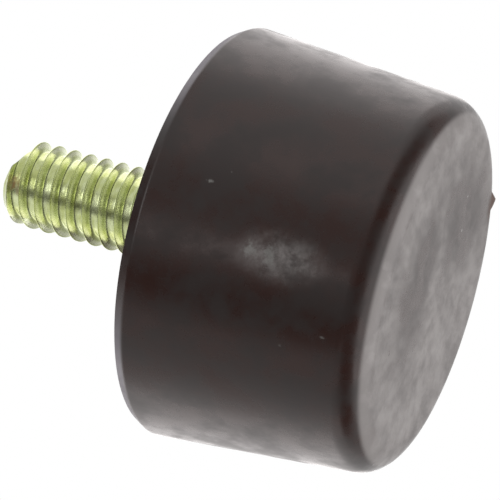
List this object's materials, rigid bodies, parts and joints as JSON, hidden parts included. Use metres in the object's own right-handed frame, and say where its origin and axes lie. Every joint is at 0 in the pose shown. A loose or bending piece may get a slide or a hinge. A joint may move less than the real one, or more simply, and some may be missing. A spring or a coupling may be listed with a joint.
{
  "type": "appliance foot",
  "caption": "Tapered round rubber foot with a threaded steel stud out of its wider end, to screw under an appliance and stand on its flat bearing face.",
  "frame": {"origin": "centre of the bearing face that the foot stands on", "axes": "+Z along the stud, out of the shoulder; +X and +Y across the foot"},
  "size_m": [0.0294, 0.0294, 0.0321],
  "materials": {
    "rubber": "smooth moulded rubber, brown-black, with a faint grey bloom",
    "plated_steel": "zinc plate with a yellow-green passivation"
  },
  "bodies": {
    "root": {"rubber_body": "rubber", "threaded_stud": "plated_steel"}
  },
  "joints": []
}
